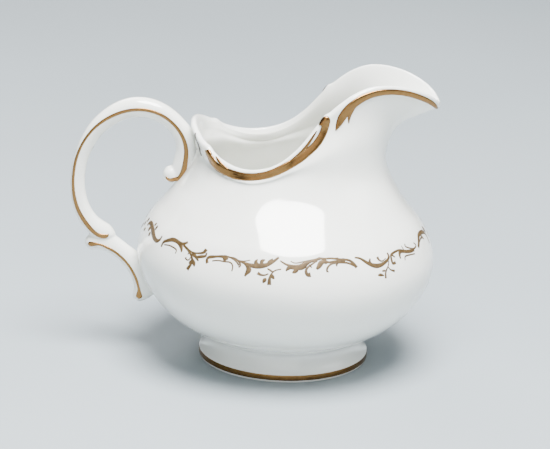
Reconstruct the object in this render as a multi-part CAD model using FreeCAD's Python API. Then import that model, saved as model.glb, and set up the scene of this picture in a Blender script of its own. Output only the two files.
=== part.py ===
import FreeCAD, Part
import math
import os

# Porcelain cream jug: a pot-bellied body with a pouring lip, on a foot ring, with a scrolled loop handle.
# Frame, in millimetres: +Z up, +X towards the pouring lip, origin at the middle of the foot's resting plane.
# The jug is symmetric about the plane Y = 0; its "right" side is -Y and its "left" side is +Y.

Vector = FreeCAD.Vector
UP = Vector(0, 0, 1)
SIDEWAYS = Vector(0, 1, 0)

# ---- Body ---------------------------------------------------------------------------------------
BODY_BASE_Z = 10.6                 # the flat underside of the body, which sits on the foot ring
BODY_BASE_R = 28.4
WALL = 2.6                         # wall thickness of the pot
LIP_THICK = 2.3                    # thickness of the rounded lip
FLOOR_Z = 13.1                     # height of the inside floor
BELLY = [                          # (radius, height) up the round belly
    (BODY_BASE_R, BODY_BASE_Z), (31.6, 11.8), (36.0, 13.9), (41.7, 17.8), (47.2, 24.0), (51.0, 31.2),
    (52.3, 37.6), (51.5, 43.4), (47.6, 51.2),
]
SET_BACK = 0.7                     # how far the shoulder's rings are moved towards the handle
SET_BACK_RISE, SET_BACK_FALL = (30.0, 50.0), (58.0, 73.5)   # heights where that sets in and dies away
WAIST_R = 33.8                     # radius of the neck at its narrowest, under the pouring lip
WAIST_Z = 73.5
SHOULDER_R, SHOULDER_Z = BELLY[-1]
SHOULDER_POWER = 1.35              # how the radius falls from shoulder to neck
SIDE_PINCH = 0.165                 # share by which the neck is narrower from side to side
PINCH_EASE, EASE_SPAN = 0.065, 0.4 # how much of that goes behind the sides, and how soon
BACK_PINCH = 0.02                  # share by which it is narrower at the handle
DIP_ANGLE, DIP_SPREAD, DIP_DROP = 115.0, 25.0, 4.0   # the waist is lower where the rim dips
NECK_STEPS = (0.2, 0.41, 0.65, 1.0)
FLARE_STEPS = (0.28, 0.52, 0.74, 0.9)
FLARE_LOW, FLARE_HIGH = 1.8, 1.2   # how stiffly the wall leaves the waist and meets the rim
RIM = [                            # (degrees round from the spout, radius, height, outward lean in degrees)
    (0, 51.4, 94.8, 62), (6, 49.5, 97.6, 52), (11, 46.2, 100.2, 42), (16, 42.2, 102.2, 32),
    (22, 37.7, 103.4, 24), (28, 33.9, 103.6, 18), (37, 30.2, 102.2, 12), (47, 27.4, 99.0, 8),
    (56, 25.3, 95.2, 6), (65, 24.4, 91.3, 5), (76, 25.0, 86.0, 6), (86, 26.2, 81.6, 8),
    (98, 28.1, 77.6, 10), (112, 30.0, 75.6, 12), (126, 31.4, 76.0, 13), (140, 32.5, 78.6, 15),
    (154, 33.6, 82.3, 17), (168, 34.0, 85.1, 19), (180, 34.0, 85.9, 20),
]
BLOCK_TOP = (6.0, 88.0)            # where the solid block that trims the handle closes, inside the mouth
AROUND = 48                        # meridians round the body
SPOUT_FOCUS = 0.5                  # crowds the meridians towards the spout

# ---- Foot ring ----------------------------------------------------------------------------------
FOOT_R = 30.0
FOOT_SEAT_IN, FOOT_SEAT_OUT = 26.6, 29.4
FOOT_OUTSIDE = [                   # (radius, height) from the gilt band up to the body
    (FOOT_R, 3.0), (28.9, 4.4), (28.0, 6.4), (27.6, 8.4), (27.9, 9.4), (28.3, 9.9), (BODY_BASE_R, BODY_BASE_Z),
]
FOOT_INSIDE_R = 24.6
FOOT_BAND_LOW, FOOT_BAND_HIGH = 0.9, 2.8
GILT = 0.12                        # thickness of a gilt layer

# ---- Handle -------------------------------------------------------------------------------------
# Stations along a line in the plane Y = 0: (x, z, outward depth, inward depth, half width).
LOOP = [
    (-34.6, 61.6, 2.0, 2.2, 2.2), (-37.2, 65.6, 3.2, 3.9, 3.0), (-36.4, 70.0, 4.2, 4.2, 3.2),
    (-36.0, 74.0, 4.0, 3.9, 3.2), (-36.8, 78.0, 3.8, 3.7, 3.2), (-39.4, 82.5, 3.2, 3.5, 3.2),
    (-44.5, 86.7, 3.2, 3.5, 3.3), (-50.6, 88.5, 3.6, 3.5, 3.4), (-56.9, 87.9, 3.6, 3.4, 3.4),
    (-63.0, 85.3, 2.9, 3.7, 3.3), (-68.3, 81.1, 2.1, 3.9, 3.2), (-72.2, 75.7, 1.4, 4.1, 3.1),
    (-74.6, 69.7, 1.1, 4.1, 3.0), (-75.6, 63.2, 1.1, 4.0, 3.0), (-75.3, 56.7, 1.3, 4.0, 3.0),
    (-73.5, 50.6, 1.8, 4.0, 3.0), (-69.8, 45.3, 2.4, 3.9, 3.1), (-65.9, 42.6, 2.8, 3.9, 3.2),
    (-63.2, 41.9, 2.4, 3.5, 2.8), (-61.6, 42.0, 1.4, 2.5, 2.0), (-60.6, 42.2, 0.3, 0.3, 0.3),
]
STRUT = [
    (-71.6, 38.2, 0.3, 0.3, 0.3), (-70.9, 38.3, 1.7, 1.6, 1.4), (-69.4, 38.6, 2.8, 2.9, 2.3),
    (-66.6, 38.6, 2.6, 4.6, 2.7), (-63.6, 37.7, 2.2, 4.8, 2.9), (-60.8, 36.3, 2.0, 4.3, 3.0),
    (-57.9, 34.0, 1.9, 4.4, 3.0), (-55.6, 31.4, 1.8, 5.4, 3.0), (-53.8, 28.4, 1.8, 6.0, 2.9),
    (-52.5, 25.2, 1.8, 6.4, 2.8), (-51.8, 22.0, 2.0, 6.8, 2.6), (-51.7, 19.6, 2.4, 4.6, 2.5),
    (-51.6, 18.0, 1.7, 2.4, 1.8), (-51.5, 17.2, 0.3, 0.3, 0.3),
]
NUB_AT, NUB_R = (-41.2, 65.0), 3.1            # the scrolled end that faces back into the loop
SECTION_POINTS = 16

# ---- Gilding ------------------------------------------------------------------------------------
LINE_RISE = 0.22                   # how proud the painted lines and raised scrolls stand
SCROLL_RISE = 0.45
SCROLL_SINK = 0.5                  # how far the scrolls are drawn into the porcelain before they are trimmed
TRIM_SLACK = 0.0001                # tolerance of that trimming
GILT_POINTS = 8                    # points round the section of a line or scroll
HANDLE_LINE = [                    # (x, z, half width) of the line down each side of the loop
    (-43.6, 64.6, 0.2), (-42.7, 63.2, 0.8), (-40.8, 62.6, 1.1), (-38.8, 63.3, 1.1), (-37.4, 65.1, 1.1),
    (-36.6, 67.5, 1.0), (-36.2, 70.4, 0.9), (-36.0, 74.0, 0.8), (-36.8, 78.0, 0.7), (-39.4, 82.5, 0.6),
    (-44.5, 86.7, 0.6), (-50.6, 88.5, 0.6), (-56.9, 87.9, 0.6), (-63.0, 85.3, 0.6), (-68.3, 81.1, 0.5),
    (-72.2, 75.7, 0.5), (-74.6, 69.7, 0.6), (-75.6, 63.2, 0.6), (-75.3, 56.7, 0.7), (-73.5, 50.6, 0.8),
    (-70.2, 45.4, 0.9), (-66.8, 42.2, 0.9), (-64.0, 41.6, 0.9), (-62.4, 42.6, 0.2),
]
STRUT_LINE = [
    (-70.9, 38.5, 0.2), (-70.0, 38.3, 0.9), (-66.6, 38.6, 0.5), (-63.6, 37.7, 0.5), (-60.8, 36.3, 0.5),
    (-57.9, 34.0, 0.5), (-55.6, 31.4, 0.5), (-53.8, 28.4, 0.5), (-52.5, 25.2, 0.5), (-51.8, 22.0, 0.6),
    (-51.8, 20.0, 1.2), (-51.8, 18.9, 0.9), (-51.8, 18.4, 0.2),
]
# (degrees round from the spout, distance below the lip's outer edge, half width) of the raised scrolls.
RIM_SCROLL = [
    (147, -0.4, 0.2), (146, 0.4, 0.8), (143.5, 1.6, 1.0), (139, 2.0, 1.2), (131, 1.2, 1.4), (122, 1.0, 1.3),
    (112, 0.9, 1.3), (102, 0.8, 1.3), (94, 1.0, 1.4), (87, 1.7, 1.5), (80, 2.6, 1.5), (73, 3.5, 1.4),
    (67, 3.8, 1.3), (62.5, 2.8, 1.2), (60.5, 1.0, 1.1), (61, -0.5, 0.9), (62, -1.3, 0.3),
]
SPOUT_SCROLL = [
    (54, 5.8, 0.2), (51.8, 4.6, 1.0), (49.5, 3.2, 1.5), (46.5, 2.0, 1.6), (43, 1.3, 1.6), (38, 1.0, 1.5),
    (33, 0.9, 1.3), (27, 0.7, 1.2), (21, 0.5, 1.1), (15, 0.5, 1.1), (9, 0.6, 1.0), (4.5, 0.6, 0.8),
    (1.5, 0.6, 0.4),
]


def spline(points, params):
    """Smooth curve through the points at the given parameters."""
    curve = Part.BSplineCurve()
    curve.interpolate(Points=points, Parameters=params)
    return curve


def chord_params(points):
    """Parameters from 0 to 1 in step with the distance between points."""
    params = [0.0]
    for a, b in zip(points, points[1:]):
        params.append(params[-1] + math.sqrt(a.distanceToPoint(b)))
    return [p / params[-1] for p in params]


def ring_poles(ring):
    """Control points of the closed uniform cubic spline that passes through the ring's points."""
    count = len(ring)
    poles = list(ring)
    for _ in range(60):
        poles = [
            poles[i] + ring[i] - (poles[i - 1] + poles[i] * 4 + poles[(i + 1) % count]) * (1 / 6)
            for i in range(count)
        ]
    return poles


def tube(rings):
    """Closed solid with a smooth skin through the rings of points and flat ends."""
    count = len(rings[0])
    params = chord_params([ring[0] for ring in rings])
    lines = [spline([ring[j] for ring in rings], params) for j in range(count)]
    rows = [ring_poles([line.getPole(k + 1) for line in lines]) for k in range(lines[0].NbPoles)]
    grid = [[row[j - 1] for row in rows] for j in range(count)]
    knots = [k / count for k in range(count + 1)]
    surface = Part.BSplineSurface()
    surface.buildFromPolesMultsKnots(
        grid, [1] * (count + 1), lines[0].getMultiplicities(), knots, lines[0].getKnots(), True, False, 3, 3
    )
    skin = surface.toShape()
    ends = [Part.Face(Part.Wire(e)) for e in skin.Edges if e.isClosed() and len(e.Vertexes) == 1]
    shell = Part.makeShell([skin] + ends[:2])
    shell.sewShape()
    solid = Part.makeSolid(shell)
    if solid.Volume < 0:
        solid.reverse()
    return solid


def smooth_step(x):
    x = max(0.0, min(1.0, x))
    return x * x * (3 - 2 * x)


def rim_curve():
    """The rim's (radius, height, lean) as a curve over the angle, carried a little past both its ends."""
    before = [(-a, r, z, lean) for a, r, z, lean in RIM[3:0:-1]]
    after = [(360 - a, r, z, lean) for a, r, z, lean in RIM[-2:-5:-1]]
    table = before + RIM + after
    points = [Vector(r, z, lean) for _, r, z, lean in table]
    return spline(points, [float(row[0]) for row in table])


RIM_CURVE = rim_curve()


def turned_from_spout(angle):
    """The angle from the spout, in degrees, the same on both sides."""
    return abs((angle + 180) % 360 - 180)


def rim_at(angle):
    """(radius, height, lean in radians) of the rim's crest at an angle from the spout, in degrees."""
    at = RIM_CURVE.value(turned_from_spout(angle))
    return at.x, at.y, math.radians(at.z)


def neck_radius(angle, z):
    """Radius of the neck: round at the shoulder, then pinched at the sides and a little behind."""
    fall = max(0.0, 1 - (z - SHOULDER_Z) / (WAIST_Z - SHOULDER_Z))
    radius = WAIST_R + (SHOULDER_R - WAIST_R) * fall ** SHOULDER_POWER
    a = math.radians(angle)
    behind = max(0.0, -math.cos(a))
    side = SIDE_PINCH - PINCH_EASE * smooth_step(behind / EASE_SPAN)
    pinch = side * math.sin(a) ** 2 + BACK_PINCH * behind ** 2
    return radius * (1 - pinch * smooth_step((z - SHOULDER_Z) / (WAIST_Z - SHOULDER_Z)))


def set_back(angle, z):
    """Change of radius that moves the body's rings towards the handle."""
    rise, fall = SET_BACK_RISE, SET_BACK_FALL
    share = smooth_step((z - rise[0]) / (rise[1] - rise[0]))
    share *= 1 - smooth_step((z - fall[0]) / (fall[1] - fall[0]))
    return -SET_BACK * share * math.cos(math.radians(angle))


def outer_stations(angle):
    """(radius, height) up the outside of the body at an angle from the spout, up to the lip."""
    rim_r, rim_z, lean = rim_at(angle)
    past_dip = (turned_from_spout(angle) - DIP_ANGLE) / DIP_SPREAD
    waist_z = WAIST_Z - DIP_DROP * math.exp(-(past_dip ** 2))
    stations = [(r + set_back(angle, z), z) for r, z in BELLY]
    for step in NECK_STEPS:
        z = SHOULDER_Z + (waist_z - SHOULDER_Z) * step
        stations.append((neck_radius(angle, z) + set_back(angle, z), z))
    waist_r = stations[-1][0]
    half = LIP_THICK / 2
    top_r = rim_r - half * math.sin(lean) + half * math.cos(lean)
    top_z = rim_z - half * math.cos(lean) - half * math.sin(lean)
    chord = math.hypot(top_r - waist_r, top_z - waist_z)
    for t in FLARE_STEPS + (1.0,):
        start, end = 1 - smooth_step(t), smooth_step(t)
        leave, meet = t * (1 - t) ** 2 * chord * FLARE_LOW, t * t * (t - 1) * chord * FLARE_HIGH
        r = start * waist_r + end * top_r + meet * math.sin(lean)
        z = start * waist_z + end * top_z + leave + meet * math.cos(lean)
        stations.append((r, z))
    return stations


def lip_stations(angle):
    """(radius, height) over the rounded lip, between its outer and inner edges."""
    rim_r, rim_z, lean = rim_at(angle)
    half = LIP_THICK / 2
    stations = []
    for degrees in (45, 90, 135):
        across, along = half * math.cos(math.radians(degrees)), half * math.sin(math.radians(degrees))
        r = rim_r - half * math.sin(lean) + across * math.cos(lean) + along * math.sin(lean)
        z = rim_z - half * math.cos(lean) - across * math.sin(lean) + along * math.cos(lean)
        stations.append((r, z))
    return stations


def inner_stations(outer):
    """(radius, height) down the inside, one wall thickness in from the outside, to the floor's middle."""
    stations = []
    last = len(outer) - 1
    for i in range(last, 1, -1):
        (r0, z0), (r1, z1) = outer[i - 1], outer[min(i + 1, last)]
        length = math.hypot(r1 - r0, z1 - z0)
        thick = LIP_THICK if i == last else WALL
        r, z = outer[i]
        stations.append((r - thick * (z1 - z0) / length, z + thick * (r1 - r0) / length))
    return stations + [(30.0, 13.9), (22.0, 13.2), (10.0, FLOOR_Z)]


def meridian_angles():
    """Angles from the spout, in degrees, closer together near it."""
    turns = [2 * math.pi * i / AROUND for i in range(AROUND)]
    return [math.degrees(t - SPOUT_FOCUS * math.sin(t)) for t in turns]


def in_plane(x, z):
    return Vector(x, 0, z)


def at_angle(angle, r, z):
    a = math.radians(angle)
    return Vector(r * math.cos(a), r * math.sin(a), z)


def rings_of(profiles):
    """Rings of points from one (radius, height) profile per meridian."""
    angles = meridian_angles()
    return [[at_angle(a, *p[k]) for a, p in zip(angles, profiles)] for k in range(len(profiles[0]))]


def body():
    """The thin-walled pot with its rounded lip, as one smooth skin from underside to inside floor."""
    profiles = []
    for angle in meridian_angles():
        outer = outer_stations(angle)
        profiles.append(outer + lip_stations(angle) + inner_stations(outer))
    return tube(rings_of(profiles))


def body_filled():
    """The body's outside as a solid block, for trimming what is joined to it."""
    profiles = [outer_stations(angle) + [BLOCK_TOP] for angle in meridian_angles()]
    return tube(rings_of(profiles))


def lathe(profile):
    """Solid turned about Z from a closed (radius, height) wire."""
    return Part.Face(profile).revolve(Vector(0, 0, 0), UP, 360)


def foot_ring():
    """Hollow foot with a concave outside and a narrow rim to stand on."""
    outside = Part.BSplineCurve()
    outside.interpolate(Points=[in_plane(r, z) for r, z in FOOT_OUTSIDE])
    seat_out = in_plane(FOOT_SEAT_OUT, 0)
    side = in_plane(FOOT_R, 0.6)
    seat_in = in_plane(FOOT_SEAT_IN, 0)
    heel = in_plane(FOOT_SEAT_IN - 0.7, 0.9)
    top_in = in_plane(FOOT_INSIDE_R, BODY_BASE_Z)
    edges = [
        Part.makeLine(seat_in, seat_out),
        Part.Arc(seat_out, in_plane(FOOT_R - 0.16, 0.16), side).toShape(),
        Part.makeLine(side, in_plane(*FOOT_OUTSIDE[0])),
        outside.toShape(),
        Part.makeLine(in_plane(*FOOT_OUTSIDE[-1]), top_in),
        Part.makeLine(top_in, heel),
        Part.makeLine(heel, seat_in),
    ]
    return lathe(Part.Wire(edges))


def foot_gilt_band():
    corners = [
        in_plane(FOOT_R, FOOT_BAND_LOW), in_plane(FOOT_R + GILT, FOOT_BAND_LOW),
        in_plane(FOOT_R + GILT, FOOT_BAND_HIGH), in_plane(FOOT_R, FOOT_BAND_HIGH),
    ]
    return lathe(Part.makePolygon(corners + corners[:1]))


def path_frames(points):
    """(point, outward normal) along a line in the plane Y = 0; the normal is to the line's right."""
    params = chord_params(points)
    curve = spline(points, params)
    frames = []
    for point, at in zip(points, params):
        along = curve.tangent(at)[0]
        frames.append((point, SIDEWAYS.cross(along).normalize()))
    return frames


def bent_bar(stations):
    """Bar of changing oval section. Its widest points follow the stations' line."""
    frames = path_frames([in_plane(x, z) for x, z, *_ in stations])
    rings = []
    for (point, normal), (_, _, out, inward, half_width) in zip(frames, stations):
        ring = []
        for j in range(SECTION_POINTS):
            turn = 2 * math.pi * j / SECTION_POINTS
            depth = out if math.sin(turn) > 0 else inward
            across = SIDEWAYS * (half_width * math.cos(turn))
            ring.append(point + across + normal * (depth * math.sin(turn)))
        rings.append(ring)
    return tube(rings)


def handle(pot):
    """The cast handle: loop, scrolled end and strut in one piece, trimmed to sit on the pot."""
    nub = Part.makeSphere(NUB_R, in_plane(*NUB_AT))
    cast = bent_bar(LOOP).fuse([bent_bar(STRUT), nub])
    trimmed = cast.cut(pot)
    return max(trimmed.Solids, key=lambda s: s.Volume)


def gilt_ring(middle, across, outward, half, rise, sink):
    """Flat oval ring of points: half wide each way, rise proud of the surface and sink into it."""
    ring = []
    for j in range(GILT_POINTS):
        turn = 2 * math.pi * j / GILT_POINTS
        height = rise if math.sin(turn) > 0 else sink
        ring.append(middle + across * (half * math.cos(turn)) + outward * (height * math.sin(turn)))
    return ring


def half_width_at(x, z, bar):
    """Half width of a bar beside a point on its line."""
    nearest = min(bar, key=lambda s: math.hypot(s[0] - x, s[1] - z))
    return nearest[4]


def side_line(stations, bar):
    """Thin gilt line along the left side of a bar of the handle, half sunk in it."""
    frames = path_frames([in_plane(x, z) for x, z, _ in stations])
    rings = []
    for (point, normal), (x, z, half) in zip(frames, stations):
        middle = point + SIDEWAYS * half_width_at(x, z, bar)
        rings.append(gilt_ring(middle, normal, SIDEWAYS, half, LINE_RISE, LINE_RISE))
    return tube(rings)


def below_lip(angle, distance):
    """A point on the outside of the body, at a distance down from the lip's outer edge."""
    outside, lip = outer_stations(angle), lip_stations(angle)
    profile = [in_plane(r, z) for r, z in outside + lip]
    params = chord_params(profile)
    curve = spline(profile, params)
    edge = params[len(outside) - 1]
    at = curve.value(curve.parameterAtDistance(-distance, edge))
    return at_angle(angle, at.x, at.z)


def raised_scroll(stations, skin):
    """Raised scroll on the skin of the body's left side, along the lip."""
    points, normals = [], []
    for angle, below, _ in stations:
        u, v = skin.Surface.parameter(below_lip(angle, below))
        points.append(skin.valueAt(u, v))
        normals.append(skin.normalAt(u, v))
    params = chord_params(points)
    line = spline(points, params)
    rings = []
    for point, normal, (_, _, half), at in zip(points, normals, stations, params):
        across = normal.cross(line.tangent(at)[0]).normalize()
        rings.append(gilt_ring(point, across, normal, half, min(SCROLL_RISE, half), min(SCROLL_SINK, half)))
    return tube(rings)


def without(shape, porcelain):
    """What of a gilt layer stands outside the porcelain."""
    outside = shape.cut([porcelain], TRIM_SLACK)
    return max(outside.Solids, key=lambda s: s.Volume)


def write(name, shape):
    shape.exportStep("parts/" + name + ".step")
    print(name, "valid" if shape.isValid() else "NOT VALID", round(shape.Volume, 2), shape.BoundBox)


def write_pair(name, left):
    """Writes a piece of the left side and its mirror image on the right."""
    write(name + "_left", left)
    write(name + "_right", left.mirror(Vector(0, 0, 0), SIDEWAYS))


def main():
    os.makedirs("parts", exist_ok=True)
    pot = body()
    cast_handle = handle(body_filled())
    skin = max(pot.Faces, key=lambda face: face.Area)
    write("body", pot)
    write("foot_ring", foot_ring())
    write("foot_gilt_band", foot_gilt_band())
    write("handle", cast_handle)
    write_pair("handle_gilt_line", without(side_line(HANDLE_LINE, LOOP), cast_handle))
    write_pair("strut_gilt_line", without(side_line(STRUT_LINE, STRUT), cast_handle))
    write_pair("rim_scroll", without(raised_scroll(RIM_SCROLL, skin), pot))
    write_pair("spout_scroll", without(raised_scroll(SPOUT_SCROLL, skin), pot))


main()
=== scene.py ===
import math

import bmesh
import bpy
import numpy as np
from mathutils import Matrix, Vector
from mathutils.bvhtree import BVHTree


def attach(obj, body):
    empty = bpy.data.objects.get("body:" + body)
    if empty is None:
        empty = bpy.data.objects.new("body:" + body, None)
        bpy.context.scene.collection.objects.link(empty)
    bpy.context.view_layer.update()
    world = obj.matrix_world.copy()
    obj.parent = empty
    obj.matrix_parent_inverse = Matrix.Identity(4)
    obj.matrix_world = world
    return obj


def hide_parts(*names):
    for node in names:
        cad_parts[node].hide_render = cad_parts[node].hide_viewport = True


# Porcelain cream jug with gilding. The shapes follow the same formulas as the CAD part, in millimetres,
# and become metres where a mesh is made. +X is towards the pouring lip, the handle is at -X.

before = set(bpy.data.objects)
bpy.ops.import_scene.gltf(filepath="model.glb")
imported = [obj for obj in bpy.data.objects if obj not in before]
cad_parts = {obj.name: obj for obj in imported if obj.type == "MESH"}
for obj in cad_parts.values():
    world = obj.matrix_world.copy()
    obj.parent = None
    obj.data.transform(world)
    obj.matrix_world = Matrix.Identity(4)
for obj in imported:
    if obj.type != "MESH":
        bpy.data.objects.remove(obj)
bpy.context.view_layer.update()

MM = 0.001                         # metres in a millimetre
ROOT = "root"

# ---- Body: the CAD part's own numbers, apart from the lip's bumps ----------------------------------
BELLY = [                          # (radius, height) up the outside
    (28.4, 10.6), (31.6, 11.8), (36.0, 13.9), (41.7, 17.8), (47.2, 24.0), (51.0, 31.2),
    (52.3, 37.6), (51.5, 43.4), (47.6, 51.2),
]
SET_BACK = 0.7
SET_BACK_RISE, SET_BACK_FALL = (30.0, 50.0), (58.0, 73.5)
WALL = 2.6
LIP_THICK = 2.3
FLOOR = [(30.0, 13.9), (22.0, 13.2), (10.0, 13.1)]     # (radius, height) inside, towards the middle
WAIST_R, WAIST_Z = 33.8, 73.5
SHOULDER_R, SHOULDER_Z = BELLY[-1]
SHOULDER_POWER = 1.35
SIDE_PINCH, PINCH_EASE, EASE_SPAN, BACK_PINCH = 0.165, 0.065, 0.4, 0.02
DIP_ANGLE, DIP_SPREAD, DIP_DROP = 115.0, 25.0, 4.0
NECK_STEPS = (0.2, 0.41, 0.65, 1.0)
FLARE_STEPS = (0.28, 0.52, 0.74, 0.9, 1.0)
FLARE_LOW, FLARE_HIGH = 1.8, 1.2
RIM = [                            # (degrees from the spout, radius, height, lean) of the lip's crest
    (0, 51.4, 94.8, 62), (6, 49.5, 97.6, 52), (11, 46.2, 100.2, 42), (16, 42.2, 102.2, 32),
    (22, 37.7, 103.4, 24), (28, 33.9, 103.6, 18), (37, 30.2, 102.2, 12), (47, 27.4, 99.0, 8),
    (56, 25.3, 95.2, 6), (65, 24.4, 91.3, 5), (76, 25.0, 86.0, 6), (86, 26.2, 81.6, 8),
    (98, 28.1, 77.6, 10), (112, 30.0, 75.6, 12), (126, 31.4, 76.0, 13), (140, 32.5, 78.6, 15),
    (154, 33.6, 82.3, 17), (168, 34.0, 85.1, 19), (180, 34.0, 85.9, 20),
]
RIM_BUMPS = [(60.5, 2.6, 0.8), (146.5, 3.2, 0.7)]      # (degrees, spread, height) at the scrolls' ends
AROUND = 288                       # points of the mesh round the body
SPOUT_FOCUS = 0.5                  # 0 spreads them evenly, more draws them towards the spout
PER_SPAN = 7                       # rings of the mesh from one station to the next

# ---- Foot ring ------------------------------------------------------------------------------------
FOOT_R = 30.0
FOOT_OUTSIDE = [
    (30.0, 3.0), (28.9, 4.4), (28.0, 6.4), (27.6, 8.4), (27.9, 9.4), (28.3, 9.9), (28.4, 10.6),
]
FOOT_SEAT = [(24.6, 10.6), (25.9, 0.9), (26.15, 0.35), (26.6, 0.0), (29.4, 0.0), (29.84, 0.16), (30.0, 0.6)]
FOOT_BAND = (0.9, 2.8)             # lower and upper edge
BAND_SINK, BAND_RISE, BAND_EDGE = 0.05, 0.12, 0.1

# ---- Handle: (x, z, outward depth, inward depth, half width) -----------------------------------------
LOOP = [
    (-34.6, 61.6, 2.0, 2.2, 2.2), (-37.2, 65.6, 3.2, 3.9, 3.0), (-36.4, 70.0, 4.2, 4.2, 3.2),
    (-36.0, 74.0, 4.0, 3.9, 3.2), (-36.8, 78.0, 3.8, 3.7, 3.2), (-39.4, 82.5, 3.2, 3.5, 3.2),
    (-44.5, 86.7, 3.2, 3.5, 3.3), (-50.6, 88.5, 3.6, 3.5, 3.4), (-56.9, 87.9, 3.6, 3.4, 3.4),
    (-63.0, 85.3, 2.9, 3.7, 3.3), (-68.3, 81.1, 2.1, 3.9, 3.2), (-72.2, 75.7, 1.4, 4.1, 3.1),
    (-74.6, 69.7, 1.1, 4.1, 3.0), (-75.6, 63.2, 1.1, 4.0, 3.0), (-75.3, 56.7, 1.3, 4.0, 3.0),
    (-73.5, 50.6, 1.8, 4.0, 3.0), (-69.8, 45.3, 2.4, 3.9, 3.1), (-65.9, 42.6, 2.8, 3.9, 3.2),
    (-63.2, 41.9, 2.4, 3.5, 2.8), (-61.6, 42.0, 1.4, 2.5, 2.0), (-60.6, 42.2, 0.3, 0.3, 0.3),
]
STRUT = [
    (-71.6, 38.2, 0.3, 0.3, 0.3), (-70.9, 38.3, 1.7, 1.6, 1.4), (-69.4, 38.6, 2.8, 2.9, 2.3),
    (-66.6, 38.6, 2.6, 4.6, 2.7), (-63.6, 37.7, 2.2, 4.8, 2.9), (-60.8, 36.3, 2.0, 4.3, 3.0),
    (-57.9, 34.0, 1.9, 4.4, 3.0), (-55.6, 31.4, 1.8, 5.4, 3.0), (-53.8, 28.4, 1.8, 6.0, 2.9),
    (-52.5, 25.2, 1.8, 6.4, 2.8), (-51.8, 22.0, 2.0, 6.8, 2.6), (-51.7, 19.6, 2.4, 4.6, 2.5),
    (-51.6, 18.0, 1.7, 2.4, 1.8), (-51.5, 17.2, 0.3, 0.3, 0.3),
]
NUB_AT, NUB_R = (-41.2, 0.0, 65.0), 3.1
HANDLE_VOXEL = 0.3                 # voxel size when the handle's bars are joined

# ---- Gilding ----------------------------------------------------------------------------------------
# Lines beside the handle's bars: (x, z, half width).
HANDLE_LINE = [
    (-43.6, 64.6, 0.2), (-42.7, 63.2, 0.8), (-40.8, 62.6, 1.1), (-38.8, 63.3, 1.1), (-37.4, 65.1, 1.1),
    (-36.6, 67.5, 1.0), (-36.2, 70.4, 0.9), (-36.0, 74.0, 0.8), (-36.8, 78.0, 0.7), (-39.4, 82.5, 0.6),
    (-44.5, 86.7, 0.6), (-50.6, 88.5, 0.6), (-56.9, 87.9, 0.6), (-63.0, 85.3, 0.6), (-68.3, 81.1, 0.5),
    (-72.2, 75.7, 0.5), (-74.6, 69.7, 0.6), (-75.6, 63.2, 0.6), (-75.3, 56.7, 0.7), (-73.5, 50.6, 0.8),
    (-70.2, 45.4, 0.9), (-66.8, 42.2, 0.9), (-64.0, 41.6, 0.9), (-62.4, 42.6, 0.2),
]
STRUT_LINE = [
    (-70.9, 38.5, 0.2), (-70.0, 38.3, 0.9), (-66.6, 38.6, 0.5), (-63.6, 37.7, 0.5), (-60.8, 36.3, 0.5),
    (-57.9, 34.0, 0.5), (-55.6, 31.4, 0.5), (-53.8, 28.4, 0.5), (-52.5, 25.2, 0.5), (-51.8, 22.0, 0.6),
    (-51.8, 20.0, 1.2), (-51.8, 18.9, 0.9), (-51.8, 18.4, 0.2),
]
# Strips on the body: (degrees from the spout, distance below the lip's outer edge, half width).
RIM_SCROLL = [
    (145, -0.6, 1.7), (144.2, 0.2, 2.3), (142.6, 1.2, 2.4), (139.8, 2.0, 2.1), (135.8, 1.9, 1.8),
    (131, 1.4, 1.6), (122, 1.0, 1.5), (112, 0.9, 1.4), (102, 0.8, 1.4), (94, 1.0, 1.5), (87, 1.7, 1.5),
    (80, 2.6, 1.5), (73, 3.5, 1.4), (67, 3.8, 1.4), (62.5, 2.8, 1.4), (60.9, 1.1, 1.5), (61.2, -0.2, 1.6),
    (62.4, -1.0, 1.5), (63.8, -1.1, 1.2), (64.8, -0.7, 0.8),
]
SPOUT_SCROLL = [
    (54, 5.8, 0.2), (51.8, 4.6, 1.0), (49.5, 3.2, 1.5), (46.5, 2.0, 1.6), (43, 1.3, 1.6), (38, 1.0, 1.5),
    (33, 0.9, 1.3), (27, 0.7, 1.2), (21, 0.5, 1.1), (15, 0.5, 1.1), (9, 0.6, 1.0), (4.5, 0.6, 0.8),
    (1.0, 0.6, 0.35),
]
RIM_TICKS = [                      # pointed offshoots of the scroll
    [(128, 0.1, 0.4), (133, -0.4, 0.6), (136, -1.0, 0.5), (138.5, -1.5, 0.15)],
    [(90, 0.4, 0.4), (82, 0.9, 0.7), (76, 0.7, 0.6), (71, 0.0, 0.4), (68, -0.5, 0.15)],
]
SPOUT_TICKS = [[(41, 2.4, 0.5), (43.5, 3.4, 0.8), (44.8, 5.0, 0.6), (45.2, 7.0, 0.15)]]
# A dark strip of painted shadow: it stands in for the shade in the crease beside the handle's upper joint.
PAINTED_SHADOW_LINE = [(160, -1.2, 0.3), (158.6, 0.2, 0.6), (157.5, 1.8, 0.8), (157.2, 4.0, 0.8), (157.4, 6.4, 0.3)]
SCROLL_RISE = 0.45
LINE_RISE = 0.15
TICK_RISE = 0.25
STRIP_SINK = 0.12                  # how far the strips' undersides lie in the porcelain
BESIDE_HANDLE = 3.4                # lines start this far out and settle on the sides of the bars
THINNEST = 0.02                    # least half width of a strip
SIDES = {"right": -1, "left": 1}

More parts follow.
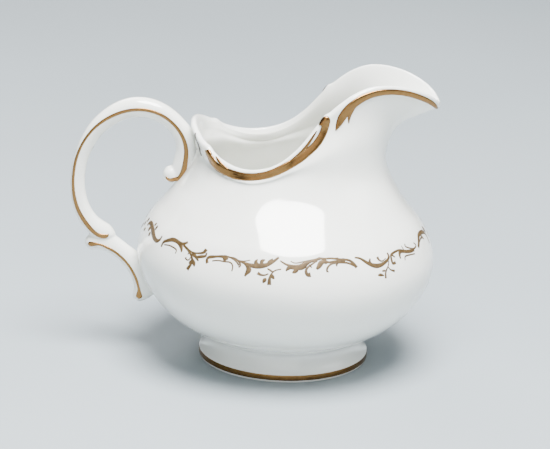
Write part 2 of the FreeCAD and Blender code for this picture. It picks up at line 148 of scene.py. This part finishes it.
# ---- Vine print: strokes as (half widths at start, middle, end), (way round, height) points -----------
VINE = [
    # a spray at the shoulder under the dip, towards the handle
    ((0.4, 0.7, 0.4), [
        (-47, 47), (-47, 48.5), (-45.5, 49.5), (-43, 50.5), (-40, 50.5), (-37.5, 50.5),
        (-35.5, 51.5),
    ]),
    ((0.4, 0.7, 0.2), [(-41, 50.5), (-38.5, 50), (-37, 49), (-36.5, 48)]),
    ((0.2, 0.25, 0.2), [(-46, 48), (-43.5, 48.5), (-41, 48.5), (-39, 48), (-39, 47)]),
    ((0.2, 0.3, 0.2), [(-38, 50.5), (-35.5, 50), (-33.5, 49), (-33.5, 48)]),
    ((0.4, 0.4, 0.6), [(-36, 50), (-33.5, 49), (-31.5, 47.5), (-31, 46), (-31.5, 44.5), (-32, 43.5)]),
    ((0.2, 0.2, 0.35), [(-32, 47.5), (-32.5, 46.5), (-33.5, 46.5), (-34, 47)]),
    ((0.3, 0.6, 0.15), [(-31, 46.5), (-31.5, 46), (-32, 45.5)]),
    ((0.3, 0.6, 0.15), [(-31, 47), (-30, 46), (-29.5, 45)]),
    ((0.2, 0.3, 0.6), [(-37, 50), (-34, 49.5), (-31.5, 49), (-28.5, 49.5), (-27.5, 50), (-27, 51)]),
    ((0.3, 0.5, 0.3), [(-32, 48.5), (-30, 48), (-28, 48.5), (-26.5, 49), (-26.5, 50)]),
    ((0.3, 0.5, 0.2), [(-32, 49), (-30, 48), (-28.5, 47)]),
    # the tendril that leads on to the handle
    ((0.6, 0.9, 0.3), [
        (-65, 49), (-64.5, 50), (-62.5, 50.5), (-59, 50), (-56, 49), (-53, 48), (-50.5, 48),
        (-49.5, 49), (-49.5, 50),
    ]),
    ((0.5, 0.8, 0.5), [(-60.5, 50), (-61, 49), (-61.5, 48.5)]),
    ((0.4, 0.7, 0.4), [(-58, 48.5), (-58.5, 48), (-59, 47.5)]),
    ((0.5, 0.9, 0.5), [(-65.5, 48), (-65.5, 47.5), (-65, 47)]),
    ((0.5, 0.9, 0.5), [(-70.5, 48), (-69.5, 48.5), (-69, 49)]),
    ((0.4, 0.6, 0.4), [(-58.5, 51), (-58, 51.5), (-57.5, 51.5)]),
    ((0.3, 0.6, 0.4), [(-56, 50), (-56, 51), (-55.5, 51.5)]),
    ((0.4, 0.8, 0.4), [(-68.5, 49.5), (-68, 50), (-67, 50.5)]),
    ((0.5, 0.9, 0.4), [(-74, 46), (-73, 46.5), (-72, 47)]),
    # the curl that hangs from the middle spray
    ((0.5, 0.3, 0.25), [
        (-25, 47), (-25.5, 48), (-25, 49), (-23, 49.5), (-20.5, 50), (-17.5, 50), (-15, 49),
        (-14, 48),
    ]),
    ((0.15, 0.2, 0.15), [(-25, 48.5), (-23.5, 49), (-21.5, 49.5), (-19.5, 49.5)]),
    ((0.2, 0.25, 0.2), [(-23.5, 48), (-21, 48.5), (-19, 48.5), (-17, 48.5), (-16, 47.5), (-16, 46)]),
    ((0.5, 0.9, 0.5), [(-20, 50), (-19, 49.5), (-18.5, 49)]),
    ((0.2, 0.3, 0.25), [(-18, 50), (-16, 50), (-14, 49), (-13.5, 48), (-14, 47.5)]),
    ((0.15, 0.2, 0.15), [(-14, 49.5), (-12.5, 49.5), (-10.5, 50)]),
    ((0.2, 0.8, 0.3), [
        (-14.5, 49.5), (-12.5, 49), (-10, 48.5), (-7.5, 48.5), (-5, 49), (-3, 50), (-1, 51.5),
    ]),
    ((0.3, 0.55, 0.15), [(-7.5, 49), (-8.5, 49.5), (-8, 50.5)]),
    ((0.3, 0.55, 0.15), [(-6.5, 49), (-6.5, 50), (-5.5, 50.5)]),
    ((0.3, 0.5, 0.15), [(-4.5, 49.5), (-4, 50), (-3, 51)]),
    ((0.3, 0.8, 0.25), [(-12.5, 49), (-11, 48), (-10.5, 47), (-11, 46), (-11.5, 45)]),
    # the small sprig under it
    ((0.2, 0.25, 0.6), [(0, 48), (-2, 47.5), (-3, 46.5), (-3.5, 45), (-3.5, 43)]),
    ((0.2, 0.3, 0.2), [(-2.5, 47), (-3.5, 47.5), (-4.5, 48)]),
    ((0.2, 0.3, 0.5), [(-4, 46.5), (-5, 46), (-6.5, 46), (-7.5, 46.5)]),
    ((0.2, 0.6, 0.2), [(-4.5, 45), (-5, 44.5), (-5.5, 43.5)]),
    ((0.2, 0.5, 0.15), [(-3, 46.5), (-2.5, 45.5), (-2, 45)]),
    # the middle spray
    ((0.2, 0.6, 0.25), [(-0.5, 50.5), (1.5, 49.5), (3.5, 49), (6, 49), (8.5, 50), (10.5, 50.5), (13, 51)]),
    ((0.4, 0.9, 0.3), [(3, 48.5), (5, 48.5), (7, 49), (8.5, 50), (11, 50.5)]),
    ((0.4, 0.6, 0.15), [(4, 49), (2.5, 48.5), (1.5, 47.5)]),
    ((0.4, 0.6, 0.15), [(5.5, 48.5), (4.5, 47.5), (3.5, 47)]),
    ((0.15, 0.2, 0.15), [(3, 50.5), (4, 50), (5.5, 50), (8, 50.5), (11, 51), (13, 51.5)]),
    ((0.2, 0.35, 0.7), [(12, 50.5), (10, 49.5), (8.5, 48.5), (8, 47.5), (8.5, 46.5), (9.5, 46.5)]),
    ((0.15, 0.25, 0.15), [(9, 49.5), (9.5, 49), (10, 48.5)]),
    ((0.3, 0.9, 0.3), [(15.5, 50), (13.5, 50), (12.5, 49), (11.5, 48)]),
    ((0.3, 0.35, 0.3), [(12, 51), (14, 51), (15.5, 50), (17.5, 50), (20, 50)]),
    ((0.15, 0.2, 0.15), [(12.5, 51.5), (16, 51), (19.5, 51)]),
    ((0.15, 0.25, 0.15), [(19.5, 49.5), (17, 49.5), (15.5, 48.5), (15, 47.5), (15.5, 47)]),
    ((0.3, 0.35, 0.5), [(14.5, 51), (17, 51), (20, 50.5), (23, 50), (24.5, 49), (25.5, 47.5)]),
    ((0.2, 0.25, 0.2), [(14.5, 49.5), (16.5, 50), (19, 50), (21, 50)]),
    ((0.25, 0.3, 0.35), [(15, 47), (15, 48), (16, 49), (17.5, 49.5), (20.5, 49.5), (23, 49), (25, 48)]),
    ((0.5, 0.9, 0.4), [(20.5, 50.5), (21, 50), (21.5, 49.5)]),
    ((0.2, 0.3, 0.15), [(19, 49.5), (18.5, 49), (18.5, 48.5)]),
    # the curl towards the pouring lip
    ((0.25, 0.7, 0.3), [
        (25.5, 50.5), (27.5, 50), (29, 49), (30.5, 48), (33, 47), (35.5, 47), (37.5, 47.5),
        (39.5, 48.5), (39.5, 50),
    ]),
    ((0.2, 0.4, 0.2), [(32, 47.5), (31, 48.5), (31.5, 49.5)]),
    ((0.5, 0.25, 0.15), [(34.5, 49.5), (35, 48.5), (36, 48), (38, 48.5)]),
    ((0.2, 0.25, 0.4), [(39, 47.5), (38, 46), (36.5, 44.5), (36, 42.5)]),
    ((0.15, 0.3, 0.2), [(36.5, 45), (36, 45), (35, 45)]),
    ((0.15, 0.45, 0.2), [(35.5, 43.5), (34, 44), (33, 44)]),
    ((0.2, 0.25, 0.4), [(38, 46), (38.5, 45), (40.5, 44)]),
    # the last spray and the tip under the pouring lip
    ((0.45, 0.35, 0.25), [
        (42, 46.5), (40.5, 46.5), (40.5, 48), (41, 49), (43.5, 49.5), (46, 49.5), (49.5, 48.5),
        (53.5, 48), (55.5, 48), (57, 48.5), (56, 49.5),
    ]),
    ((0.2, 0.35, 0.2), [(42.5, 48), (41.5, 49), (43, 49.5)]),
    ((0.3, 0.6, 0.3), [(54.5, 47.5), (50, 48), (46, 49), (45, 48), (45, 47)]),
    ((0.2, 0.25, 0.2), [(54, 46.5), (50, 47), (47.5, 47), (47, 46)]),
    ((0.2, 0.3, 0.2), [(54.5, 48), (51.5, 49), (50, 50), (50.5, 50.5)]),
    ((0.15, 0.2, 0.15), [(48.5, 49), (48, 50), (48, 50.5)]),
    ((0.5, 0.7, 0.5), [
        (58, 47.5), (60, 48.5), (62.5, 50), (67.5, 50), (71.5, 48.5), (72, 46.5), (71.5, 45),
    ]),
    ((0.2, 0.55, 0.2), [(64.5, 50), (65.5, 49), (66.5, 48)]),
    ((0.15, 0.3, 0.15), [(61, 48.5), (63.5, 49), (66.5, 48.5)]),
    ((0.4, 0.8, 0.5), [(72, 50.5), (73, 49.5), (74, 48.5)]),
]
VINE_R = 48.0                      # the way round is measured on a circle of this radius, from the side
PRINT_RISE, PRINT_SINK = 0.04, 0.05
STROKE_STEPS = 8                   # rings of a stroke's mesh for each of its points
PRINT_SPREAD = 1.2                 # multiplies the half widths of the strokes


# ---- Curves -----------------------------------------------------------------------------------------
def natural_spline(params, values, at):
    """Smooth curve through values at rising params, read at the params in at."""
    x = np.asarray(params, float)
    y = np.asarray(values, float)
    flat = y.reshape(len(x), -1)
    h = np.diff(x)
    system = np.eye(len(x))
    right = np.zeros_like(flat)
    for i in range(1, len(x) - 1):
        system[i, i - 1 : i + 2] = h[i - 1], 2 * (h[i - 1] + h[i]), h[i]
        right[i] = 6 * ((flat[i + 1] - flat[i]) / h[i] - (flat[i] - flat[i - 1]) / h[i - 1])
    bend = np.linalg.solve(system, right)
    at = np.asarray(at, float)
    k = np.clip(np.searchsorted(x, at, side="right") - 1, 0, len(h) - 1)
    hk = h[k][:, None]
    a = (x[k + 1] - at)[:, None] / hk
    b = 1 - a
    read = a * flat[k] + b * flat[k + 1]
    read += ((a**3 - a) * bend[k] + (b**3 - b) * bend[k + 1]) * hk**2 / 6
    return read.reshape((len(at),) + y.shape[1:])


def chord_params(points):
    """Parameters from 0 to 1 that grow with the root of the distance between points."""
    steps = np.sqrt(np.linalg.norm(np.diff(np.asarray(points, float), axis=0), axis=1))
    params = np.concatenate([[0.0], np.cumsum(steps)])
    return params / params[-1]


def finer(params, count):
    """The params with count - 1 more between each two."""
    pieces = [np.linspace(a, b, count, endpoint=False) for a, b in zip(params, params[1:])]
    return np.concatenate(pieces + [[params[-1]]])


def resampled(rows, count):
    """Rows of (x, y, ..., width) along a smooth curve, count of them, evenly in its parameter."""
    rows = np.asarray(rows, float)
    return natural_spline(chord_params(rows[:, :-1]), rows, np.linspace(0, 1, count))


def smooth_step(x):
    x = np.clip(x, 0, 1)
    return x * x * (3 - 2 * x)


# ---- The body's shape ---------------------------------------------------------------------------------
def rim_at(angles):
    """Radius, height and lean (radians) of the rim's crest at angles from the spout, in degrees."""
    before = [(-a, r, z, lean) for a, r, z, lean in RIM[3:0:-1]]
    after = [(360 - a, r, z, lean) for a, r, z, lean in RIM[-2:-5:-1]]
    table = np.array(before + RIM + after, float)
    turned = np.abs((np.asarray(angles, float) + 180) % 360 - 180)
    r, z, lean = natural_spline(table[:, 0], table[:, 1:], turned).T
    for middle, spread, height in RIM_BUMPS:
        z = z + height * np.exp(-(((turned - middle) / spread) ** 2))
    return r, z, np.radians(lean)


def set_back(angles, z):
    """How much the body's rings are moved towards the handle, as a change of radius."""
    (rise_low, rise_high), (fall_low, fall_high) = SET_BACK_RISE, SET_BACK_FALL
    risen = smooth_step((z - rise_low) / (rise_high - rise_low))
    fallen = smooth_step((z - fall_low) / (fall_high - fall_low))
    return -SET_BACK * (risen * (1 - fallen)) * np.cos(np.radians(angles))


def neck_radius(angles, z):
    fall = np.maximum(0.0, 1 - (z - SHOULDER_Z) / (WAIST_Z - SHOULDER_Z))
    radius = WAIST_R + (SHOULDER_R - WAIST_R) * fall**SHOULDER_POWER
    a = np.radians(angles)
    behind = np.maximum(-np.cos(a), 0)
    side = SIDE_PINCH - PINCH_EASE * smooth_step(behind / EASE_SPAN)
    pinch = side * np.sin(a) ** 2 + BACK_PINCH * behind**2
    return radius * (1 - pinch * smooth_step((z - SHOULDER_Z) / (WAIST_Z - SHOULDER_Z)))


def outer_stations(angles):
    """(station, angle, radius and height) up the outside, up to the lip."""
    angles = np.asarray(angles, float)
    rim_r, rim_z, lean = rim_at(angles)
    turned = np.abs((angles + 180) % 360 - 180)
    waist_z = WAIST_Z - DIP_DROP * np.exp(-(((turned - DIP_ANGLE) / DIP_SPREAD) ** 2))
    rows = [np.stack([r + set_back(angles, z), np.full_like(angles, z)], -1) for r, z in BELLY]
    for step in NECK_STEPS:
        z = SHOULDER_Z + (waist_z - SHOULDER_Z) * step
        rows.append(np.stack([neck_radius(angles, z) + set_back(angles, z), z], -1))
    waist_r = rows[-1][:, 0]
    half = LIP_THICK / 2
    top_r = rim_r - half * np.sin(lean) + half * np.cos(lean)
    top_z = rim_z - half * np.cos(lean) - half * np.sin(lean)
    chord = np.hypot(top_r - waist_r, top_z - waist_z)
    for t in FLARE_STEPS:
        start, end = 1 - smooth_step(t), smooth_step(t)
        leave, meet = t * (1 - t) ** 2 * chord * FLARE_LOW, t * t * (t - 1) * chord * FLARE_HIGH
        r = start * waist_r + end * top_r + meet * np.sin(lean)
        z = start * waist_z + end * top_z + leave + meet * np.cos(lean)
        rows.append(np.stack([r, z], -1))
    return np.array(rows)


def lip_stations(angles):
    rim_r, rim_z, lean = rim_at(angles)
    half = LIP_THICK / 2
    rows = []
    for degrees in (45, 90, 135):
        across, along = half * math.cos(math.radians(degrees)), half * math.sin(math.radians(degrees))
        r = rim_r - half * np.sin(lean) + across * np.cos(lean) + along * np.sin(lean)
        z = rim_z - half * np.cos(lean) - across * np.sin(lean) + along * np.cos(lean)
        rows.append(np.stack([r, z], -1))
    return np.array(rows)


def inner_stations(outer):
    """(station, angle, radius and height) down the inside to the floor's middle."""
    rows = []
    last = len(outer) - 1
    for i in range(last, 1, -1):
        run = outer[min(i + 1, last)] - outer[i - 1]
        run /= np.linalg.norm(run, axis=-1)[:, None]
        thick = LIP_THICK if i == last else WALL
        rows.append(outer[i] + thick * np.stack([-run[:, 1], run[:, 0]], -1))
    for r, z in FLOOR:
        rows.append(np.zeros_like(outer[0]) + (r, z))
    return np.array(rows)


def body_rings():
    turns = 2 * np.pi * np.arange(AROUND) / AROUND
    angles = np.degrees(turns - SPOUT_FOCUS * np.sin(turns))
    outer = outer_stations(angles)
    stations = np.concatenate([outer, lip_stations(angles), inner_stations(outer)])
    params = chord_params(stations[:, 0])
    profile = natural_spline(params, stations, finer(params, PER_SPAN))
    a = np.radians(angles)
    r, z = profile[..., 0], profile[..., 1]
    return np.stack([r * np.cos(a), r * np.sin(a), z], -1)


# ---- Meshes -------------------------------------------------------------------------------------------
def mesh_piece(name, points, faces):
    """A smooth-shaded mesh object from points in millimetres."""
    mesh = bpy.data.meshes.new(name)
    mesh.from_pydata([tuple(p) for p in np.asarray(points) * MM], [], faces)
    mesh.update()
    mesh.polygons.foreach_set("use_smooth", [True] * len(mesh.polygons))
    piece = bpy.data.objects.new(name, mesh)
    bpy.context.scene.collection.objects.link(piece)
    return piece


def tube_faces(rows, count):
    """Faces of a tube of rows rings of count points, closed with a fan at each end."""
    faces = []
    for i in range(rows - 1):
        for j in range(count):
            k = (j + 1) % count
            faces.append((i * count + j, i * count + k, (i + 1) * count + k, (i + 1) * count + j))
    first, last = rows * count, rows * count + 1
    for j in range(count):
        k = (j + 1) % count
        faces.append((k, j, first))
        faces.append(((rows - 1) * count + j, (rows - 1) * count + k, last))
    return faces


def tube_piece(name, rings):
    rows, count = rings.shape[:2]
    ends = [rings[0].mean(0), rings[-1].mean(0)]
    points = np.concatenate([rings.reshape(-1, 3), ends])
    piece = mesh_piece(name, points, tube_faces(rows, count))
    tidy_normals(piece)
    return piece


def tidy_normals(piece):
    bm = bmesh.new()
    bm.from_mesh(piece.data)
    bmesh.ops.recalc_face_normals(bm, faces=bm.faces)
    bm.to_mesh(piece.data)
    bm.free()


def bar_rings(stations, around=48):
    """Rings of a bar of changing oval section along stations in the plane Y = 0."""
    stations = np.array(stations, float)
    path = np.stack([stations[:, 0], 0 * stations[:, 0], stations[:, 1]], -1)
    params = chord_params(path)
    step = 1e-4
    ahead = natural_spline(params, path, np.minimum(params + step, 1))
    behind = natural_spline(params, path, np.maximum(params - step, 0))
    along = ahead - behind
    along /= np.linalg.norm(along, axis=1)[:, None]
    normal = np.cross([0, 1, 0], along)
    turns = 2 * np.pi * np.arange(around) / around
    rings = []
    for point, out, (_, _, outward, inward, half) in zip(path, normal, stations):
        depth = np.where(np.sin(turns) > 0, outward, inward) * np.sin(turns)
        across = half * np.cos(turns)
        rings.append(point + across[:, None] * [0, 1, 0] + depth[:, None] * out)
    rings = np.array(rings)
    ring_params = chord_params(rings[:, 0])
    return natural_spline(ring_params, rings, finer(ring_params, 8))


def joined(name, pieces):
    """One object from several."""
    bpy.ops.object.select_all(action="DESELECT")
    for piece in pieces:
        piece.select_set(True)
    bpy.context.view_layer.objects.active = pieces[0]
    bpy.ops.object.join()
    pieces[0].name = name
    pieces[0].data.name = name
    return pieces[0]


def applied(piece):
    """Applies all of a piece's modifiers to its mesh."""
    bpy.context.view_layer.update()
    graph = bpy.context.evaluated_depsgraph_get()
    mesh = bpy.data.meshes.new_from_object(piece.evaluated_get(graph))
    piece.modifiers.clear()
    piece.data = mesh
    mesh.polygons.foreach_set("use_smooth", [True] * len(mesh.polygons))
    return piece


def handle_piece():
    """Loop, strut and nub under one smooth skin."""
    loop = tube_piece("loop", bar_rings(LOOP))
    strut = tube_piece("strut", bar_rings(STRUT))
    bm = bmesh.new()
    bmesh.ops.create_uvsphere(bm, u_segments=48, v_segments=24, radius=NUB_R * MM)
    bmesh.ops.translate(bm, verts=bm.verts, vec=Vector(NUB_AT) * MM)
    mesh = bpy.data.meshes.new("nub")
    bm.to_mesh(mesh)
    bm.free()
    nub = bpy.data.objects.new("nub", mesh)
    bpy.context.scene.collection.objects.link(nub)
    piece = joined("handle_cast", [loop, strut, nub])
    remesh = piece.modifiers.new("Remesh", "REMESH")
    remesh.mode = "VOXEL"
    remesh.voxel_size = HANDLE_VOXEL * MM
    smooth = piece.modifiers.new("Smooth", "SMOOTH")
    smooth.factor = 0.5
    smooth.iterations = 12
    return applied(piece)


def tree_of(piece):
    bm = bmesh.new()
    bm.from_mesh(piece.data)
    tree = BVHTree.FromBMesh(bm)
    bm.free()
    return tree


def settle(tree, point):
    """(nearest point on the surface, its outward normal), in millimetres."""
    at, normal, _, _ = tree.find_nearest(Vector(point) * MM)
    return np.array(at) / MM, np.array(normal)


def ribbon(name, rows, tree, rise, sink=STRIP_SINK, steps=96, across_steps=8):
    """Closed strip of changing width that follows a surface: rows of (x, y, z, half width)."""
    rows = resampled(rows, steps)
    centre = np.array([settle(tree, p[:3])[0] for p in rows])
    normals = np.array([settle(tree, p)[1] for p in centre])
    along = np.gradient(centre, axis=0)
    along /= np.linalg.norm(along, axis=1)[:, None]
    across = np.cross(normals, along)
    shares = np.linspace(-1, 1, across_steps + 1)
    top, under = [], []
    for point, side, half in zip(centre, across, np.maximum(rows[:, 3], THINNEST)):
        for share in shares:
            at, normal = settle(tree, point + side * half * share)
            high = rise * math.sqrt(max(0.0, 1 - share**2))
            top.append(at + normal * min(high, half))
            under.append(at - normal * sink)
    width, count = len(shares), len(top)
    faces = []
    for i in range(steps - 1):
        for j in range(width - 1):
            a, b = i * width + j, (i + 1) * width + j
            faces.append((a, b, b + 1, a + 1))
            faces.append((count + a, count + a + 1, count + b + 1, count + b))
        for j in (0, width - 1):
            a, b = i * width + j, (i + 1) * width + j
            faces.append((a, b, count + b, count + a))
    for i in (0, steps - 1):
        for j in range(width - 1):
            a = i * width + j
            faces.append((a, a + 1, count + a + 1, count + a))
    piece = mesh_piece(name, top + under, faces)
    tidy_normals(piece)
    return piece


def rim_point(angle, below):
    """A point on the outside of the body, at a distance below the lip's outer edge."""
    angles = np.array([angle])
    outside = outer_stations(angles)
    stations = np.concatenate([outside, lip_stations(angles)])[:, 0]
    fine_steps = 12
    params = chord_params(stations)
    fine = natural_spline(params, stations, finer(params, fine_steps))
    lengths = np.concatenate([[0], np.cumsum(np.linalg.norm(np.diff(fine, axis=0), axis=1))])
    edge = lengths[(len(outside) - 1) * fine_steps]
    r = np.interp(edge - below, lengths, fine[:, 0])
    z = np.interp(edge - below, lengths, fine[:, 1])
    a = math.radians(angle)
    return r * math.cos(a), r * math.sin(a), z


def lathe_piece(name, profile, around=192):
    """Closed ring turned about Z from a closed (radius, height) outline."""
    turns = 2 * np.pi * np.arange(around) / around
    points = [(r * math.cos(t), r * math.sin(t), z) for t in turns for r, z in profile]
    n = len(profile)
    faces = []
    for i in range(around):
        for j in range(n):
            a, b = i * n + j, ((i + 1) % around) * n + j
            c, d = ((i + 1) % around) * n + (j + 1) % n, i * n + (j + 1) % n
            faces.append((a, b, c, d))
    piece = mesh_piece(name, points, faces)
    tidy_normals(piece)
    return piece


# ---- Materials ------------------------------------------------------------------------------------------
def new_material(name):
    material = bpy.data.materials.new(name)
    material.use_nodes = True
    return material, material.node_tree, material.node_tree.nodes["Principled BSDF"]


def noise(tree, scale, detail=2.0):
    """Noise in the object's own space, in metres."""
    where = tree.nodes.new("ShaderNodeTexCoord")
    pattern = tree.nodes.new("ShaderNodeTexNoise")
    pattern.inputs["Scale"].default_value = scale
    pattern.inputs["Detail"].default_value = detail
    tree.links.new(where.outputs["Object"], pattern.inputs["Vector"])
    return pattern.outputs["Fac"]


def ramp(tree, value, low, high):
    """Colours from low to high as the value rises."""
    node = tree.nodes.new("ShaderNodeValToRGB")
    node.color_ramp.elements[0].position = 0.3
    node.color_ramp.elements[1].position = 0.7
    node.color_ramp.elements[0].color = (*low, 1)
    node.color_ramp.elements[1].color = (*high, 1)
    tree.links.new(value, node.inputs["Fac"])
    return node.outputs["Color"]


def bump(tree, height, strength, distance):
    node = tree.nodes.new("ShaderNodeBump")
    node.inputs["Strength"].default_value = strength
    node.inputs["Distance"].default_value = distance
    tree.links.new(height, node.inputs["Height"])
    return node.outputs["Normal"]


def porcelain():
    material, tree, shader = new_material("glazed_porcelain")
    colour = ramp(tree, noise(tree, 25.0), (0.83, 0.84, 0.79), (0.87, 0.88, 0.83))
    tree.links.new(colour, shader.inputs["Base Color"])
    shader.inputs["Roughness"].default_value = 0.12
    shader.inputs["IOR"].default_value = 1.5
    shader.inputs["Coat Weight"].default_value = 0.6
    shader.inputs["Coat Roughness"].default_value = 0.03
    shader.inputs["Subsurface Weight"].default_value = 0.15
    shader.inputs["Subsurface Radius"].default_value = (0.004, 0.004, 0.003)
    shader.inputs["Subsurface Scale"].default_value = 1.0
    tree.links.new(bump(tree, noise(tree, 160.0), 0.03, 0.0004), shader.inputs["Normal"])
    return material


def gold(name, dark, light, metal, roughness):
    material, tree, shader = new_material(name)
    colour = ramp(tree, noise(tree, 900.0, 4.0), dark, light)
    tree.links.new(colour, shader.inputs["Base Color"])
    shader.inputs["Metallic"].default_value = metal
    spread = tree.nodes.new("ShaderNodeMapRange")
    spread.inputs["To Min"].default_value = roughness * 0.7
    spread.inputs["To Max"].default_value = roughness * 1.4
    tree.links.new(noise(tree, 1500.0, 3.0), spread.inputs["Value"])
    tree.links.new(spread.outputs["Result"], shader.inputs["Roughness"])
    tree.links.new(bump(tree, noise(tree, 2500.0, 2.0), 0.05, 0.00003), shader.inputs["Normal"])
    return material


PORCELAIN = porcelain()
GILDING = gold("burnished_gilding", (0.24, 0.125, 0.042), (0.29, 0.155, 0.056), 1.0, 0.22)
PRINT = gold("printed_gold", (0.056, 0.032, 0.010), (0.125, 0.074, 0.024), 0.3, 0.45)
# Near-black matte paint for the strip of painted shadow beside the handle's upper joint.
SHADOW_PAINT = gold("painted_shadow_matte", (0.010, 0.007, 0.005), (0.018, 0.012, 0.008), 0.0, 0.7)


def finish_piece(piece, material, slot, *nodes):
    """Gives a piece its material and says which CAD nodes it stands for."""
    piece.data.materials.clear()
    piece.data.materials.append(material)
    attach(piece, ROOT)
    if nodes:
        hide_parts(*nodes)
    return piece


# ---- Pieces ---------------------------------------------------------------------------------------------
def build_porcelain():
    pot = tube_piece("pot", body_rings())
    outside = np.array(FOOT_OUTSIDE)
    params = chord_params(outside)
    profile = list(map(tuple, natural_spline(params, outside, finer(params, 6)))) + FOOT_SEAT
    foot = lathe_piece("foot", profile)
    cast = handle_piece()
    finish_piece(pot, PORCELAIN, "porcelain", "body")
    finish_piece(foot, PORCELAIN, "porcelain", "foot_ring")
    finish_piece(cast, PORCELAIN, "porcelain", "handle")
    return pot, foot, cast


def build_foot_band():
    low, high = FOOT_BAND
    inside, edge, outside = FOOT_R - BAND_SINK, FOOT_R + BAND_EDGE, FOOT_R + BAND_RISE
    outline = [(inside, low), (edge, low), (outside, low + BAND_EDGE)]
    outline += [(outside, high - BAND_EDGE), (edge, high), (inside, high)]
    finish_piece(lathe_piece("foot_band", outline), GILDING, "gilding", "foot_gilt_band")


def beside(stations, side):
    """Stations in the plane Y = 0 as points beside the handle."""
    return [(x, side * BESIDE_HANDLE, z, half) for x, z, half in stations]


def below_rim(stations, side):
    return [(*rim_point(side * angle, below), half) for angle, below, half in stations]


def build_gilding(pot_tree, cast_tree):
    for word, side in SIDES.items():
        lines = [
            ("handle_line", beside(HANDLE_LINE, side), "handle_gilt_line_", 320),
            ("strut_line", beside(STRUT_LINE, side), "strut_gilt_line_", 160),
        ]
        for name, rows, node, steps in lines:
            piece = ribbon(name + "_" + word, rows, cast_tree, LINE_RISE, steps=steps)
            finish_piece(piece, GILDING, "gilding", node + word)
        # The strip beside the handle's upper joint is painted shadow in near-black matte, not gilding.
        joint = ribbon("painted_shadow_line_" + word, below_rim(PAINTED_SHADOW_LINE, side), pot_tree, LINE_RISE, steps=48)
        finish_piece(joint, SHADOW_PAINT, "gilding")
        scrolls = [
            ("rim_scroll_gilt", RIM_SCROLL, RIM_TICKS, "rim_scroll_"),
            ("spout_scroll_gilt", SPOUT_SCROLL, SPOUT_TICKS, "spout_scroll_"),
        ]
        for name, scroll, ticks, node in scrolls:
            rows = below_rim(scroll, side)
            strips = [ribbon("scroll", rows, pot_tree, SCROLL_RISE, steps=240, across_steps=10)]
            for tick in ticks:
                strips.append(ribbon("tick", below_rim(tick, side), pot_tree, TICK_RISE, steps=48))
            finish_piece(joined(name + "_" + word, strips), GILDING, "gilding", node + word)


def on_belly(way, height, turn):
    """A point on the belly: so far round from the middle of the right side, then turned about Z."""
    angle = math.degrees(way / VINE_R) - 90 + turn
    heights = [z for _, z in BELLY]
    radii = [r + set_back(angle, z) for r, z in BELLY]
    r = float(natural_spline(heights, radii, [height])[0])
    a = math.radians(angle)
    return r * math.cos(a), r * math.sin(a), height


def build_vine(pot_tree):
    """The printed vine round the shoulder, on the right side and again on the left."""
    for word, turn in (("right", 0), ("left", 180)):
        strokes = []
        for widths, points in VINE:
            halves = PRINT_SPREAD * np.interp(np.linspace(0, 2, len(points)), (0, 1, 2), widths)
            rows = [(*on_belly(way, z, turn), half) for (way, z), half in zip(points, halves)]
            steps = STROKE_STEPS * len(points)
            stroke = ribbon("stroke", rows, pot_tree, PRINT_RISE, PRINT_SINK, steps, across_steps=4)
            strokes.append(stroke)
        finish_piece(joined("vine_print_" + word, strokes), PRINT, "gilding")


pot, foot, cast = build_porcelain()
build_foot_band()
build_gilding(tree_of(pot), tree_of(cast))
build_vine(tree_of(pot))


# ---- Stage ----------------------------------------------------------------------------------------------
LAMP_AIM = Vector((0, 0, 0.055))


def stage_floor():
    bpy.ops.mesh.primitive_plane_add(size=6, location=(0, 0, 0))
    floor = bpy.context.object
    floor.name = "stage_floor"
    material, tree, shader = new_material("pale_floor")
    colour = ramp(tree, noise(tree, 3.0), (0.28, 0.32, 0.345), (0.31, 0.355, 0.38))
    tree.links.new(colour, shader.inputs["Base Color"])
    shader.inputs["Roughness"].default_value = 0.6
    floor.data.materials.append(material)


def soft_light(name, azimuth, elevation, distance, shape, size, power):
    """Area light that looks at the jug's middle from an azimuth (0 is the right side) and elevation."""
    light = bpy.data.lights.new(name, "AREA")
    light.shape, light.size, light.energy = shape, size, power
    turn, rise = math.radians(azimuth), math.radians(elevation)
    away = Vector((math.sin(turn) * math.cos(rise), -math.cos(turn) * math.cos(rise), math.sin(rise)))
    lamp = bpy.data.objects.new(name, light)
    lamp.location = LAMP_AIM + away * distance
    lamp.rotation_euler = (-away).to_track_quat("-Z", "Y").to_euler()
    bpy.context.scene.collection.objects.link(lamp)


def stage_light():
    world = bpy.data.worlds.new("studio")
    world.use_nodes = True
    world.node_tree.nodes["Background"].inputs["Color"].default_value = (0.80, 0.85, 0.88, 1)
    world.node_tree.nodes["Background"].inputs["Strength"].default_value = 0.28
    bpy.context.scene.world = world
    soft_light("key", 18, 73, 0.95, "DISK", 0.6, 54)
    soft_light("front", -5, 20, 1.6, "SQUARE", 1.6, 12)
    soft_light("fill_right", 80, 30, 1.3, "SQUARE", 0.7, 4)
    soft_light("back", -150, 45, 1.4, "SQUARE", 0.8, 14)


def stage_camera():
    """The camera stands in front of the right side, a little above, and tilts slightly."""
    distance, elevation, azimuth, roll = 0.85, math.radians(17.4), math.radians(2.0), math.radians(1.95)
    target = Vector((-0.0043132, 0.0, 0.0480172))
    level = math.cos(elevation)
    back = Vector((math.sin(azimuth) * level, -math.cos(azimuth) * level, math.sin(elevation)))
    right = Vector((math.cos(azimuth), math.sin(azimuth), 0))
    up = back.cross(right)
    c, s = math.cos(roll), math.sin(roll)
    turned_right, turned_up = right * c + up * s, up * c - right * s
    data = bpy.data.cameras.new("camera")
    data.sensor_width = 36.0
    data.lens = 157.91655
    data.clip_start, data.clip_end = 0.05, 20
    camera = bpy.data.objects.new("camera", data)
    matrix = Matrix((turned_right, turned_up, back)).transposed().to_4x4()
    matrix.translation = target + back * distance
    camera.matrix_world = matrix
    bpy.context.scene.collection.objects.link(camera)
    bpy.context.scene.camera = camera


stage_floor()
stage_light()
stage_camera()
